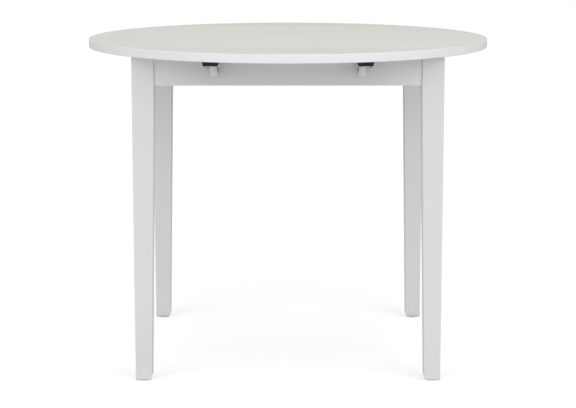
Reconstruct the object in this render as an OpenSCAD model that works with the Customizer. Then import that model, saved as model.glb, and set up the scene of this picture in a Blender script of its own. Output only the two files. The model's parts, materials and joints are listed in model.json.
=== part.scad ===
// Round drop-leaf table: a fixed centre board between two folding leaves, on four tapered legs.
// X runs along the two seams, -Y is the front and Z is up from the floor. All sizes are millimetres.

/* [Table top] */
// Diameter of the round top with both leaves up
top_d = 914; // [760:1:1110]
// Thickness of the three boards
top_t = 19; // [15:0.5:25]
// Height of the top surface above the floor
table_h = 736; // [600:1:900]
// Width of the fixed centre board, seam to seam
centre_w = 600; // [500:10:720]
// Open gap at each seam
seam_gap = 0.6; // [0.4:0.1:1.5]
// Thickness of the band around each board
band_t = 2; // [1:0.1:3]

/* [Legs] */
// Side of the square leg at its top
leg_top = 48; // [38:0.5:60]
// Side of the square leg at its foot
leg_foot = 36; // [30:0.5:44]
// Leg face behind the seam, which leaves room for a folded leaf
leg_setback = 13; // [10:0.5:25]
// Distance from the rim to the outer corner of a leg
corner_overhang = 16; // [8:1:60]
// Width of the chamfer at the inner corner of the foot
foot_chamfer_w = 4; // [1:0.5:6]
// Height of the chamfer at the inner corner of the foot
foot_chamfer_h = 9; // [2:1:20]
// Flat cut on the inner corner of the leg for the corner plate's bolt
leg_flat = 12; // [8:1:16]

/* [Aprons] */
// Thickness of the aprons
apron_t = 18; // [15:0.5:22]
// Height of the aprons
apron_h = 64; // [53:1:90]
// Apron face behind the leg face
apron_inset = 4; // [1:0.5:6]
// Dowel diameter
dowel_d = 8; // [6:0.5:9.6]
// Dowel length
dowel_len = 30; // [24:1:36]
// Distance from the apron's edges to its dowels
dowel_edge = 16; // [12:1:18]

/* [Corner plates] */
// Sheet thickness of the corner plates
plate_t = 2; // [1.5:0.1:3]
// Height of the corner plates
plate_h = 44; // [36:1:50]
// Gap between the leg's corner and the diagonal plate
plate_gap = 18; // [14:1:22]
// Length of each flange along the apron
plate_flange = 27; // [22:1:32]
// Diameter of the hanger bolt
bolt_d = 8; // [6:0.5:9.6]
// Length of the hanger bolt
bolt_len = 80; // [74:1:86]
// How deep the hanger bolt goes into the leg
bolt_bite = 34; // [28:1:38]
// Outer diameter of the washer
washer_d = 20; // [16:1:26]
// Thickness of the washer
washer_t = 1.6; // [1:0.1:2.5]
// Height of the wing nut's hub
nut_h = 8; // [6:0.5:10]

/* [Screws] */
// Shank diameter of the wood screws
screw_d = 3.8; // [3:0.1:4.6]
// Head diameter of the wood screws
screw_head_d = 8; // [6.5:0.5:10]
// Height of the pan head
screw_head_h = 2.4; // [1.8:0.1:3]
// Screw length in the wood
screw_bite = 12; // [9:0.5:14]

/* [Top fixing brackets] */
// Length of each leg of the angle bracket
fix_leg = 20; // [17:1:26]
// Width of the angle bracket
fix_w = 25; // [16:1:30]
// Distance from the leg's inner face to a bracket on a side apron
fix_inset = 159; // [125:1:170]

/* [Flap hinges] */
// Distance from the leg's inner face to the hinge's centre
hinge_inset = 125; // [102:1:130]
// Hinge pin below the underside of the boards
pin_drop = 9; // [8:0.5:12]
// Diameter of the hinge pin
pin_d = 6; // [4:0.5:7.2]
// Sheet thickness of the fixed hinge bracket
bracket_t = 1.5; // [1.2:0.1:2.4]
// Half of the clear width between the bracket's cheeks
cheek_in = 11.6; // [10.6:0.1:14]
// Sheet thickness of the moving wing
wing_t = 1.4; // [1:0.1:2]
// Length of the moving wing along the leaf, from the pin
wing_len = 85; // [75:1:102]
// Depth of the moving wing below the leaf
wing_depth = 13; // [12:0.5:16]
// Slope of the wing's sides, measured at the bottom edge
wing_slope = 2.4; // [1:0.2:4]
// How far the release tab hangs below the underside of the boards
tab_reach = 44; // [40:1:55]
// Width of the release tab
tab_w = 16; // [12:0.5:19]
// Sheet thickness of the release lever
lever_t = 2; // [1.5:0.1:2.4]
// Diameter of the lever pin
lever_pin_d = 4; // [3:0.5:4.8]

/* [Feet] */
// Diameter of the foot glides
glide_d = 22; // [16:1:26]
// Thickness of the foot glides
glide_t = 2.5; // [1.5:0.5:4]

/* [Clearances] */
// Radial clearance of screws, dowels and bolts in their holes
fit_gap = 0.05; // [0.02:0.01:0.1]
// Radial running clearance on the pins
run_gap = 0.08; // [0.03:0.01:0.1]
// Side clearance between moving hinge plates
side_gap = 0.5; // [0.4:0.1:0.8]

/* [Hidden] */
$fn = 64;
eps = 0.1;
// How far cutting shapes run past a face, spare depth of holes, and oversize of the bolt's holes
overcut = 1;
hole_spare = 0.5;
plate_hole_gap = 0.5;
washer_gap = 0.3;
root2 = sqrt(2);

top_r = top_d / 2;
seam_y = centre_w / 2;
under_z = table_h - top_t;
apron_z = under_z - apron_h;
centre_edge = seam_y - seam_gap / 2;
leaf_edge = seam_y + seam_gap / 2;
leaf_end = top_r + 2 * band_t;
rim_sides = 180;

// Outer faces of the legs, and their inner faces at the aprons
leg_y = seam_y - leg_setback;
leg_x = sqrt(pow(top_r - corner_overhang, 2) - pow(leg_y, 2));
leg_in_x = leg_x - leg_top;
leg_in_y = leg_y - leg_top;

// Outer and inner faces of the aprons
apron_out_x = leg_x - apron_inset;
apron_out_y = leg_y - apron_inset;
apron_in_x = apron_out_x - apron_t;
apron_in_y = apron_out_y - apron_t;
dowel_zs = [apron_z + dowel_edge, under_z - dowel_edge];

// Corner joint, measured along the diagonal of the leg
diagonal_shift = leg_in_x - leg_in_y;
corner_u = (leg_in_x + leg_in_y) / root2;
flat_u = corner_u + leg_flat / root2;
plate_u = corner_u - plate_gap;
plate_sum = plate_u * root2;
plate_inner_sum = (plate_u - plate_t) * root2;
bolt_z = apron_z + apron_h / 2;
bolt_start_u = flat_u + bolt_bite - bolt_len;
plate_screw_z = 13;
plate_flange_inset = 9;
plate_x_end = plate_sum - apron_in_y - plate_flange;
plate_y_end = plate_sum - apron_in_x - plate_flange;

// Wing nut, measured along the bolt
nut_u = plate_u - plate_t - washer_t - nut_h;
nut_wall = 3.5;
nut_r = bolt_d / 2 + nut_wall;
ear_root = 2;
nut_back = nut_u + nut_h - ear_root;
ear_plate_t = 2.5;
ear_tip_r = 4;
ear_rise = 6;
ear_tip = nut_r + ear_rise;
ear_lean = 4;
ear_slant = 1;

// Nail and rounding of the foot glides
glide_nail_r = 1.2;
glide_nail_len = 14;
glide_round = 1;

// Top fixing brackets
fix_side_y = leg_in_y - fix_inset;
fix_t = 2;
fix_hole = 12;

// Flap hinge, measured from its pin: y outwards, z up, x away from the table's middle
hinge_x = leg_in_x - hinge_inset;
pin_z = under_z - pin_drop;
pin_r = pin_d / 2;
apron_face = -(leg_setback + apron_inset);
apron_back = apron_face - apron_t;
cheek_out = cheek_in + bracket_t;
cheek_r = 7;
ear_in = cheek_out + side_gap;
ear_out = ear_in + wing_t;
pin_half = ear_out + side_gap / 2;
ear_r = 7.5;
ear_len = 24;
notch_gap = 1.4;
notch_half = cheek_out + notch_gap;
notch_z = -16;
base_end = -86;
base_tip = -10;
cheek_z = -13;
guard_z = -25.5;
guard_tip = 4;
guard_cut = 2.5;
guard_lap = 5;
guard_back = apron_face + 2;
cheek_ramp = 3;
cheek_toe = 8;
cheek_taper = 24;
tail_z = -3;
tail_drop = 2;
knuckle_half = 4;
knuckle_r = 6.8;
lock_angle = 40;
lock_w = 2.4;
lock_depth = 1.6;
wing_start = 6;
wing_bottom = pin_drop - wing_depth;
wing_half = ear_out + wing_slope;
wing_front_slope = 4;
wing_screw_first = 28;
wing_screw_margin = 17;
wing_screw_last = wing_len - wing_screw_margin;
wing_screws = [wing_screw_first, (wing_screw_first + wing_screw_last) / 2, wing_screw_last];
bracket_screw_margin = 8;
bracket_screw_step = 16;
bracket_screws = [for (k = [0:2]) base_end + bracket_screw_margin + k * bracket_screw_step];
rivet_r = 5;
rivet_h = 1.5;

// Release lever, on its own pin inside the notch
lever_y = apron_face - apron_t / 2;
lever_z = -7;
lever_pin_r = lever_pin_d / 2;
arm_sink = 0.6;
lever_head_r = 3.2;
lever_head_h = 0.8;
lug_r = 4;
lever_gap = 0.6;
lever_half = cheek_in - lever_gap;
arm_top = lever_z - arm_sink;
tab_out = -8;
tab_bottom = pin_drop - tab_reach;
tab_round = 3;
nose_base = 6;
nose_tip = [-5.8, -4.8];
nose_w = 3.2;
nose_rise = 0.8;
nose_gap = 0.5;

// Torsion spring on the lever pin
wire_r = 0.6;
coil_r = 3.3;
coil_turns = 6;
coil_steps = 14;
coil_half = 4.2;
coil_start = 200;
coil_end = 270;
spring_window = 5.3;
leg_b_len = 13;
leg_a_len = 12;
wire_sides = 6;

white_top = [0.93, 0.93, 0.91];
white_band = [0.95, 0.96, 0.98];
white_frame = [0.94, 0.95, 0.95];
black_steel = [0.1, 0.1, 0.1];
brown_steel = [0.4, 0.37, 0.28];
zinc = [0.75, 0.77, 0.78];
beech = [0.8, 0.66, 0.47];
nylon = [0.85, 0.85, 0.83];

SIDES = [-1, 1];

// ---- Helpers ----

// Mirrors what is drawn for the +X +Y quarter into another quarter
module quarter(sx, sy) {
  mirror([sx < 0 ? 1 : 0, 0, 0]) mirror([0, sy < 0 ? 1 : 0, 0]) children();
}

// Extrudes an outline drawn as (x, z) from y0 to y1
module along_y(y0, y1) {
  translate([0, y1, 0]) rotate([90, 0, 0]) linear_extrude(y1 - y0) children();
}

// Extrudes an outline drawn as (y, z) from x0 to x1
module along_x(x0, x1) {
  translate([x0, 0, 0]) rotate([90, 0, 90]) linear_extrude(x1 - x0) children();
}

// The same outline twice, on both sides of the hinge's middle
module both_sides(x0, x1) {
  along_x(x0, x1) children();
  along_x(-x1, -x0) children();
}

module rod_x(x0, x1, r) {
  translate([x0, 0, 0]) rotate([0, 90, 0]) cylinder(h = x1 - x0, r = r);
}

module rod_y(y0, y1, r) {
  translate([0, y0, 0]) rotate([-90, 0, 0]) cylinder(h = y1 - y0, r = r);
}

// Pan-head wood screw that points up +Z, with the underside of its head at z = 0
module screw(sheet) {
  translate([0, 0, -screw_head_h]) cylinder(h = screw_head_h, d = screw_head_d);
  cylinder(h = sheet + screw_bite, d = screw_d);
}

// Clearance hole for the same screw, through the sheet and into the wood
module screw_hole(sheet) {
  translate([0, 0, -eps]) cylinder(h = sheet + screw_bite + hole_spare + eps, r = screw_d / 2 + fit_gap);
}

// ---- Table top ----

// Outline of one board: the round top between two lines across Y, inset all round
module board_outline(y0, y1, inset) {
  intersection() {
    circle(r = top_r - inset, $fn = rim_sides);
    translate([-top_r, y0 + inset]) square([top_d, y1 - y0 - 2 * inset]);
  }
}

module board(y0, y1) {
  translate([0, 0, under_z]) linear_extrude(top_t) board_outline(y0, y1, band_t);
}

module band(y0, y1) {
  translate([0, 0, under_z]) linear_extrude(top_t) difference() {
    board_outline(y0, y1, 0);
    board_outline(y0, y1, band_t);
  }
}

module leaf() {
  difference() {
    board(leaf_edge, leaf_end);
    for (sx = SIDES) hinge_at(sx, 1) leaf_screw_places() screw_hole(wing_t);
  }
}

module centre_board() {
  color(white_top) difference() {
    board(-centre_edge, centre_edge);
    for (sx = SIDES, sy = SIDES) hinge_at(sx, sy) bracket_screw_places() screw_hole(bracket_t);
    fix_places() fix_screw_up() screw_hole(fix_t);
  }
}

module front_leaf() {
  color(white_top) quarter(1, -1) leaf();
}

module rear_leaf() {
  color(white_top) leaf();
}

module centre_board_band() {
  color(white_band) band(-centre_edge, centre_edge);
}

module front_leaf_band() {
  color(white_band) quarter(1, -1) band(leaf_edge, leaf_end);
}

module rear_leaf_band() {
  color(white_band) band(leaf_edge, leaf_end);
}

// ---- Legs ----

// Side view of a leg with its vertical outer face at w: square head, tapered inner face, foot chamfer
module leg_outline(w) {
  polygon([
    [w, glide_t], [w, under_z], [w - leg_top, under_z], [w - leg_top, apron_z],
    [w - leg_foot, glide_t + foot_chamfer_h], [w - leg_foot + foot_chamfer_w, glide_t]
  ]);
}

module leg() {
  difference() {
    intersection() {
      along_y(0, leg_y) leg_outline(leg_x);
      along_x(0, leg_x) leg_outline(leg_y);
    }
    leg_corner_cut();
    on_diagonal() rod_x(flat_u - eps, flat_u + bolt_bite + hole_spare, bolt_d / 2 + fit_gap);
    dowels(dowel_d / 2 + fit_gap, dowel_len + 2 * hole_spare);
    glide_place() cylinder(h = glide_nail_len + hole_spare, r = glide_nail_r + fit_gap);
  }
}

// The flat on the leg's inner corner behind the corner plate
module leg_corner_cut() {
  translate([leg_in_x, leg_in_y, apron_z]) linear_extrude(apron_h + eps) polygon([
    [-eps, -eps], [leg_flat + eps, -eps], [-eps, leg_flat + eps]
  ]);
}

module leg_front_left() { color(white_frame) quarter(-1, -1) leg(); }
module leg_front_right() { color(white_frame) quarter(1, -1) leg(); }
module leg_rear_left() { color(white_frame) quarter(-1, 1) leg(); }
module leg_rear_right() { color(white_frame) quarter(1, 1) leg(); }

// ---- Foot glides ----

module glide_place() {
  translate([leg_x - leg_foot / 2, leg_y - leg_foot / 2, glide_t]) children();
}

// A nylon button with a nail up into the leg
module glide() {
  glide_place() {
    translate([0, 0, -glide_t]) rotate_extrude() polygon([
      [0, 0], [glide_d / 2 - glide_round, 0], [glide_d / 2, glide_round],
      [glide_d / 2, glide_t], [0, glide_t]
    ]);
    translate([0, 0, -eps]) cylinder(h = glide_nail_len + eps, r = glide_nail_r);
  }
}

module glide_front_left() { color(nylon) quarter(-1, -1) glide(); }
module glide_front_right() { color(nylon) quarter(1, -1) glide(); }
module glide_rear_left() { color(nylon) quarter(-1, 1) glide(); }
module glide_rear_right() { color(nylon) quarter(1, 1) glide(); }

// ---- Aprons ----

// Dowels of one corner: two into the long apron, two into the side apron
module dowels(r, len) {
  for (z = dowel_zs) {
    translate([leg_in_x, (apron_in_y + apron_out_y) / 2, z]) rod_x(-len / 2, len / 2, r);
    translate([(apron_in_x + apron_out_x) / 2, leg_in_y, z]) rod_y(-len / 2, len / 2, r);
  }
}

// What the joinery and fittings cut out of every apron
module apron_cuts() {
  for (sx = SIDES, sy = SIDES) quarter(sx, sy) {
    dowels(dowel_d / 2 + fit_gap, dowel_len + 2 * hole_spare);
    plate_screw_places() screw_hole(plate_t);
  }
  fix_places() fix_screw_side() screw_hole(fix_t);
}

// Front and rear apron, notched for the hinge brackets
module long_apron() {
  difference() {
    translate([-leg_in_x, apron_in_y, apron_z]) cube([2 * leg_in_x, apron_t, apron_h]);
    apron_cuts();
    for (sx = SIDES) hinge_at(sx, 1) translate([-notch_half, apron_back - eps, notch_z])
      cube([2 * notch_half, apron_t + 2 * eps, pin_drop - notch_z + eps]);
  }
}

module side_apron() {
  difference() {
    translate([apron_in_x, -leg_in_y, apron_z]) cube([apron_t, 2 * leg_in_y, apron_h]);
    apron_cuts();
  }
}

module apron_front() { color(white_frame) quarter(1, -1) long_apron(); }
module apron_rear() { color(white_frame) long_apron(); }
module apron_left() { color(white_frame) quarter(-1, 1) side_apron(); }
module apron_right() { color(white_frame) side_apron(); }

module apron_dowels() {
  color(beech) for (sx = SIDES, sy = SIDES) quarter(sx, sy) dowels(dowel_d / 2, dowel_len);
}

// ---- Corner plates and hanger bolts ----

// Puts the local X axis on the leg's diagonal, at the bolt's height
module on_diagonal() {
  translate([diagonal_shift / 2, -diagonal_shift / 2, bolt_z]) rotate([0, 0, 45]) children();
}

// Two screws in each flange of the plate of one corner, pointing into the apron
module plate_screw_places() {
  for (dz = [-plate_screw_z, plate_screw_z]) {
    translate([plate_x_end + plate_flange_inset, apron_in_y - plate_t, bolt_z + dz])
      rotate([-90, 0, 0]) children();
    translate([apron_in_x - plate_t, plate_y_end + plate_flange_inset, bolt_z + dz])
      rotate([0, 90, 0]) children();
  }
}

module corner_plate() {
  difference() {
    translate([0, 0, bolt_z - plate_h / 2]) linear_extrude(plate_h) polygon([
      [apron_in_x, plate_y_end],
      [apron_in_x, plate_sum - apron_in_x],
      [plate_sum - apron_in_y, apron_in_y],
      [plate_x_end, apron_in_y],
      [plate_x_end, apron_in_y - plate_t],
      [plate_inner_sum - apron_in_y + plate_t, apron_in_y - plate_t],
      [apron_in_x - plate_t, plate_inner_sum - apron_in_x + plate_t],
      [apron_in_x - plate_t, plate_y_end]
    ]);
    on_diagonal() rod_x(plate_u - plate_t - overcut, plate_u + overcut, bolt_d / 2 + plate_hole_gap);
    plate_screw_places() screw_hole(plate_t);
  }
}

module corner_plate_front_left() { color(zinc) quarter(-1, -1) corner_plate(); }
module corner_plate_front_right() { color(zinc) quarter(1, -1) corner_plate(); }
module corner_plate_rear_left() { color(zinc) quarter(-1, 1) corner_plate(); }
module corner_plate_rear_right() { color(zinc) quarter(1, 1) corner_plate(); }

module hanger_bolts() {
  color(zinc) for (sx = SIDES, sy = SIDES) quarter(sx, sy) on_diagonal()
    rod_x(bolt_start_u, bolt_start_u + bolt_len, bolt_d / 2);
}

module bolt_washers() {
  color(zinc) for (sx = SIDES, sy = SIDES) quarter(sx, sy) on_diagonal() difference() {
    rod_x(plate_u - plate_t - washer_t, plate_u - plate_t, washer_d / 2);
    rod_x(plate_u - plate_t - washer_t - overcut, plate_u, bolt_d / 2 + washer_gap);
  }
}

// A hub with two flat ears that lean back over the bolt
module wing_nut() {
  difference() {
    union() {
      rod_x(nut_u, nut_u + nut_h, nut_r);
      for (s = SIDES) translate([0, 0, -ear_plate_t / 2]) linear_extrude(ear_plate_t) {
        polygon([
          [nut_back, s * bolt_d / 2],
          [nut_u - ear_lean / 2, s * (ear_tip - ear_tip_r)],
          [nut_u - ear_lean, s * ear_tip],
          [nut_u + ear_lean / 2, s * (ear_tip + ear_slant)],
          [nut_back, s * nut_r]
        ]);
        translate([nut_u - ear_lean / 4, s * ear_tip]) circle(r = ear_tip_r);
      }
    }
    rod_x(nut_u - 2 * nut_h, nut_u + nut_h + overcut, bolt_d / 2 + fit_gap);
  }
}

module wing_nuts() {
  color(zinc) for (sx = SIDES, sy = SIDES) quarter(sx, sy) on_diagonal() wing_nut();
}

module corner_plate_screws() {
  color(zinc) for (sx = SIDES, sy = SIDES) quarter(sx, sy) plate_screw_places() screw(plate_t);
}

// ---- Angle brackets between aprons and centre board ----

// Each place has y pointing away from the apron's inner face, and z = 0 at the board's underside
module fix_places() {
  for (sy = SIDES) quarter(1, sy) translate([0, apron_in_y, under_z]) rotate([0, 0, 180]) children();
  for (sx = SIDES, sy = SIDES) translate([sx * apron_in_x, sy * fix_side_y, under_z])
    rotate([0, 0, sx * 90]) children();
}

module fix_screw_up() {
  translate([0, fix_hole, -fix_t]) children();
}

module fix_screw_side() {
  translate([0, fix_t, -fix_hole]) rotate([90, 0, 0]) children();
}

module fix_bracket() {
  difference() {
    along_x(-fix_w / 2, fix_w / 2) polygon([
      [0, 0], [fix_leg, 0], [fix_leg, -fix_t], [fix_t, -fix_t], [fix_t, -fix_leg], [0, -fix_leg]
    ]);
    fix_screw_up() screw_hole(fix_t);
    fix_screw_side() screw_hole(fix_t);
  }
}

module top_fixing_brackets() {
  color(zinc) fix_places() fix_bracket();
}

module top_fixing_screws() {
  color(zinc) fix_places() {
    fix_screw_up() screw(fix_t);
    fix_screw_side() screw(fix_t);
  }
}

// ---- Flap hinges ----

// Moves a part drawn around the hinge pin to one of the four hinges
module hinge_at(sx, sy) {
  quarter(sx, sy) translate([hinge_x, seam_y, pin_z]) children();
}

module bracket_screw_places() {
  for (y = bracket_screws) translate([0, y, pin_drop - bracket_t]) children();
}

module leaf_screw_places() {
  for (y = wing_screws) translate([0, y, pin_drop - wing_t]) children();
}

module cheek_outline() {
  polygon([
    [base_end, pin_drop], [-cheek_ramp, pin_drop], [0, cheek_r], [0, -cheek_r],
    [-cheek_toe, cheek_z], [apron_back - cheek_ramp, cheek_z],
    [base_end + cheek_taper, tail_z - tail_drop], [base_end, tail_z]
  ]);
  circle(r = cheek_r);
}

// The inner cheek reaches lower, beside the release tab
module guard_outline() {
  cheek_outline();
  polygon([
    [guard_back, cheek_z + guard_lap], [guard_back, guard_z], [guard_tip - guard_cut, guard_z],
    [guard_tip, guard_z + 2 * guard_cut], [guard_tip, -guard_lap], [0, tail_z]
  ]);
}

module hinge_bracket() {
  difference() {
    union() {
      translate([-cheek_out, base_end, pin_drop - bracket_t])
        cube([2 * cheek_out, base_tip - base_end, bracket_t]);
      along_x(cheek_in, cheek_out) cheek_outline();
      along_x(-cheek_out, -cheek_in) guard_outline();
    }
    rod_x(-cheek_out - overcut, cheek_out + overcut, pin_r + fit_gap);
    lever_pin_place() rod_x(-cheek_out - overcut, cheek_out + overcut, lever_pin_r + fit_gap);
    bracket_screw_places() screw_hole(bracket_t);
  }
}

// Outer and inner shape of the pressed tray, as a section (x, z) and a side view (y, z)
module tray_section(t) {
  polygon([
    [-wing_half + t, pin_drop - t], [wing_half - t, pin_drop - t],
    [wing_half - wing_slope - t, wing_bottom - t], [t + wing_slope - wing_half, wing_bottom - t]
  ]);
}

module tray_side(t) {
  polygon([
    [wing_start - t, pin_drop - t], [wing_len - t, pin_drop - t],
    [wing_len - wing_front_slope - t, wing_bottom - t], [wing_start - t, wing_bottom - t]
  ]);
}

module tray(t) {
  intersection() {
    along_y(wing_start - t, wing_len) tray_section(t);
    along_x(-wing_half, wing_half) tray_side(t);
  }
}

module ear_outline() {
  circle(r = ear_r);
  translate([0, wing_bottom]) square([ear_len, pin_drop - wing_t + eps - wing_bottom]);
}

module knuckle_outline() {
  circle(r = knuckle_r);
  square([2 * wing_start, pin_drop - wing_t + eps]);
}

module hinge_wing() {
  difference() {
    union() {
      difference() {
        tray(0);
        tray(wing_t);
      }
      both_sides(ear_in, ear_out) ear_outline();
      along_x(-knuckle_half, knuckle_half) knuckle_outline();
    }
    rod_x(-ear_out - overcut, ear_out + overcut, pin_r + run_gap);
    leaf_screw_places() screw_hole(wing_t);
    lock_notch();
  }
}

// Notch in the knuckle's rim that faces the lever's nose
module lock_notch() {
  rotate([lock_angle, 0, 0]) translate([-knuckle_half - overcut, -knuckle_r - overcut, -lock_w / 2])
    cube([2 * (knuckle_half + overcut), lock_depth + overcut, lock_w]);
}

module hinge_pin() {
  rod_x(-pin_half, pin_half, pin_r);
  for (s = [0, 180]) rotate([0, 0, s]) rod_x(pin_half, pin_half + rivet_h, rivet_r);
}

// ---- Release levers ----

module lever_pin_place() {
  translate([0, lever_y, lever_z]) children();
}

module lever_pin() {
  lever_pin_place() {
    rod_x(-cheek_out, cheek_out, lever_pin_r);
    for (s = [0, 180]) rotate([0, 0, s]) rod_x(cheek_out, cheek_out + lever_head_h, lever_head_r);
  }
}

// The finger tab as (x, z): square shoulders, rounded lower corners
module tab_outline() {
  translate([-lever_half, 0]) {
    translate([0, tab_bottom + tab_round]) square([tab_w, arm_top - tab_bottom - tab_round]);
    translate([tab_round, tab_bottom]) square([tab_w - 2 * tab_round, tab_round + eps]);
    for (x = [tab_round, tab_w - tab_round]) translate([x, tab_bottom + tab_round]) circle(r = tab_round);
  }
}

module nose_outline() {
  polygon([
    [tab_out - nose_base, arm_top - eps], [tab_out, arm_top - eps],
    nose_tip, [nose_tip[0] - nose_w, nose_tip[1] + nose_rise]
  ]);
}

module release_lever() {
  difference() {
    union() {
      both_sides(spring_window, lever_half) translate([lever_y, lever_z]) circle(r = lug_r);
      translate([-lever_half, lever_y, arm_top - lever_t])
        cube([2 * lever_half, tab_out - lever_y, lever_t]);
      along_y(tab_out - lever_t, tab_out) tab_outline();
      along_x(nose_gap - knuckle_half, knuckle_half - nose_gap) nose_outline();
    }
    lever_pin_place() {
      rod_x(-lever_half - overcut, lever_half + overcut, lever_pin_r + run_gap);
      translate([-spring_window, -lug_r - overcut, -lug_r - overcut])
        cube([2 * spring_window, 2 * lug_r + overcut + hole_spare, 2 * (lug_r + overcut)]);
    }
  }
}

// Wire centre line as [x, y, z, travel_y, travel_z]: straight leg, coil, straight leg
coil_sweep = 360 * coil_turns + coil_end - coil_start;
function coil_angle(i) = coil_start + coil_sweep * i / (coil_turns * coil_steps);
function coil_x(i) = coil_half * (1 - 2 * i / (coil_turns * coil_steps));
function coil_point(i) = let (a = coil_angle(i))
  [coil_x(i), coil_r * cos(a), coil_r * sin(a), -sin(a), cos(a)];
function leg_point(i, run) = let (p = coil_point(i))
  [p[0], p[1] + run * p[3], p[2] + run * p[4], p[3], p[4]];
spring_path = concat(
  [leg_point(0, -leg_b_len)],
  [for (i = [0:coil_turns * coil_steps]) coil_point(i)],
  [leg_point(coil_turns * coil_steps, leg_a_len)]
);

// A ring of the wire: across X and across the direction of travel
function wire_ring(p) = [for (k = [0:wire_sides - 1]) let (b = 360 * k / wire_sides)
  [p[0] + wire_r * cos(b), p[1] - wire_r * sin(b) * p[4], p[2] + wire_r * sin(b) * p[3]]];

module lever_spring() {
  rings = len(spring_path);
  points = [for (p = spring_path) each wire_ring(p)];
  walls = [for (i = [0:rings - 2], k = [0:wire_sides - 1]) let (m = (k + 1) % wire_sides)
    [i * wire_sides + k, i * wire_sides + m, (i + 1) * wire_sides + m, (i + 1) * wire_sides + k]];
  first_cap = [for (k = [wire_sides - 1:-1:0]) k];
  last_cap = [for (k = [0:wire_sides - 1]) (rings - 1) * wire_sides + k];
  lever_pin_place() polyhedron(points, concat(walls, [first_cap], [last_cap]));
}

module hinge_bracket_front_left() { color(brown_steel) hinge_at(-1, -1) hinge_bracket(); }
module hinge_bracket_front_right() { color(brown_steel) hinge_at(1, -1) hinge_bracket(); }
module hinge_bracket_rear_left() { color(brown_steel) hinge_at(-1, 1) hinge_bracket(); }
module hinge_bracket_rear_right() { color(brown_steel) hinge_at(1, 1) hinge_bracket(); }

module hinge_wing_front_left() { color(black_steel) hinge_at(-1, -1) hinge_wing(); }
module hinge_wing_front_right() { color(black_steel) hinge_at(1, -1) hinge_wing(); }
module hinge_wing_rear_left() { color(black_steel) hinge_at(-1, 1) hinge_wing(); }
module hinge_wing_rear_right() { color(black_steel) hinge_at(1, 1) hinge_wing(); }

module release_lever_front_left() { color(zinc) hinge_at(-1, -1) release_lever(); }
module release_lever_front_right() { color(zinc) hinge_at(1, -1) release_lever(); }
module release_lever_rear_left() { color(zinc) hinge_at(-1, 1) release_lever(); }
module release_lever_rear_right() { color(zinc) hinge_at(1, 1) release_lever(); }

module hinge_pin_front_left() { color(zinc) hinge_at(-1, -1) hinge_pin(); }
module hinge_pin_front_right() { color(zinc) hinge_at(1, -1) hinge_pin(); }
module hinge_pin_rear_left() { color(zinc) hinge_at(-1, 1) hinge_pin(); }
module hinge_pin_rear_right() { color(zinc) hinge_at(1, 1) hinge_pin(); }

module lever_pin_front_left() { color(zinc) hinge_at(-1, -1) lever_pin(); }
module lever_pin_front_right() { color(zinc) hinge_at(1, -1) lever_pin(); }
module lever_pin_rear_left() { color(zinc) hinge_at(-1, 1) lever_pin(); }
module lever_pin_rear_right() { color(zinc) hinge_at(1, 1) lever_pin(); }

module lever_spring_front_left() { color(zinc) hinge_at(-1, -1) lever_spring(); }
module lever_spring_front_right() { color(zinc) hinge_at(1, -1) lever_spring(); }
module lever_spring_rear_left() { color(zinc) hinge_at(-1, 1) lever_spring(); }
module lever_spring_rear_right() { color(zinc) hinge_at(1, 1) lever_spring(); }

module hinge_bracket_screws() {
  color(zinc) for (sx = SIDES, sy = SIDES) hinge_at(sx, sy) bracket_screw_places() screw(bracket_t);
}

module leaf_screws(sy) {
  color(zinc) for (sx = SIDES) hinge_at(sx, sy) leaf_screw_places() screw(wing_t);
}

module front_leaf_screws() { leaf_screws(-1); }
module rear_leaf_screws() { leaf_screws(1); }

// ---- Nodes ----

centre_board();
front_leaf();
rear_leaf();
centre_board_band();
front_leaf_band();
rear_leaf_band();
leg_front_left();
leg_front_right();
leg_rear_left();
leg_rear_right();
apron_front();
apron_rear();
apron_left();
apron_right();
corner_plate_front_left();
corner_plate_front_right();
corner_plate_rear_left();
corner_plate_rear_right();
glide_front_left();
glide_front_right();
glide_rear_left();
glide_rear_right();
hanger_bolts();
bolt_washers();
wing_nuts();
corner_plate_screws();
apron_dowels();
top_fixing_brackets();
top_fixing_screws();
hinge_bracket_front_left();
hinge_bracket_front_right();
hinge_bracket_rear_left();
hinge_bracket_rear_right();
hinge_wing_front_left();
hinge_wing_front_right();
hinge_wing_rear_left();
hinge_wing_rear_right();
release_lever_front_left();
release_lever_front_right();
release_lever_rear_left();
release_lever_rear_right();
hinge_pin_front_left();
hinge_pin_front_right();
hinge_pin_rear_left();
hinge_pin_rear_right();
lever_pin_front_left();
lever_pin_front_right();
lever_pin_rear_left();
lever_pin_rear_right();
lever_spring_front_left();
lever_spring_front_right();
lever_spring_rear_left();
lever_spring_rear_right();
hinge_bracket_screws();
front_leaf_screws();
rear_leaf_screws();
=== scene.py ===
# %% [markdown]
# # A white round drop-leaf table
# The table has a fixed centre board, two leaves that fold down, four tapered legs, four aprons and
# four self-locking flap hinges with small release tabs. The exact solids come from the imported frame.
# This lesson gives them what a maker would see: broken edges, lacquer, pearl-textured board faces,
# pressed and plated steel. Nothing is moved or resized: every place is read from the frame.

# %% Load the frame
import json
import math
import bmesh
import bpy
from mathutils import Matrix, Vector


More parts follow.
